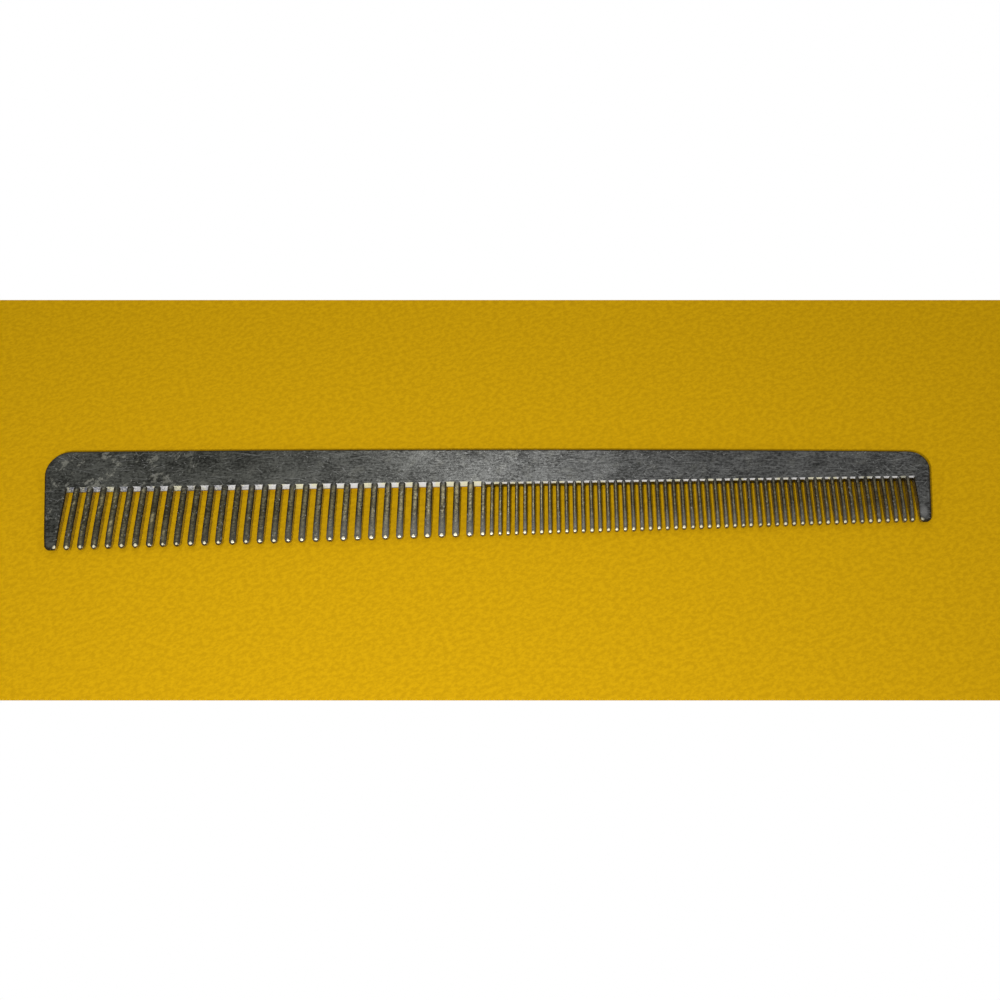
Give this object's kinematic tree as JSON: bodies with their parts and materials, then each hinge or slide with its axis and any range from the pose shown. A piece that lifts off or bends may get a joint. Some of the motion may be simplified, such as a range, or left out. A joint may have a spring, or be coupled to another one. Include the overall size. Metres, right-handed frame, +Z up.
{
  "type": "comb",
  "caption": "Flat tapered hair comb of worn aluminium plate, with coarse teeth at its deep end, fine teeth at its shallow end and a wide guard tooth at each end.",
  "frame": {"origin": "under the middle of the comb as it lies flat: the centre of its length and of its greatest height, on the plane of its lower face", "axes": "+X along the comb from the coarse end to the fine end, +Y from the tooth tips to the back, +Z up through the plate"},
  "size_m": [0.178, 0.0228, 0.002],
  "materials": {
    "worn_aluminium": "old bare aluminium, dulled to dark grey, scratched along its length and rubbed bright at the slot roots and tooth tips"
  },
  "bodies": {
    "root": {"back": "worn_aluminium", "coarse_guard": "worn_aluminium", "coarse_teeth": "worn_aluminium", "middle_tooth": "worn_aluminium", "fine_teeth": "worn_aluminium", "fine_guard": "worn_aluminium"}
  },
  "joints": []
}
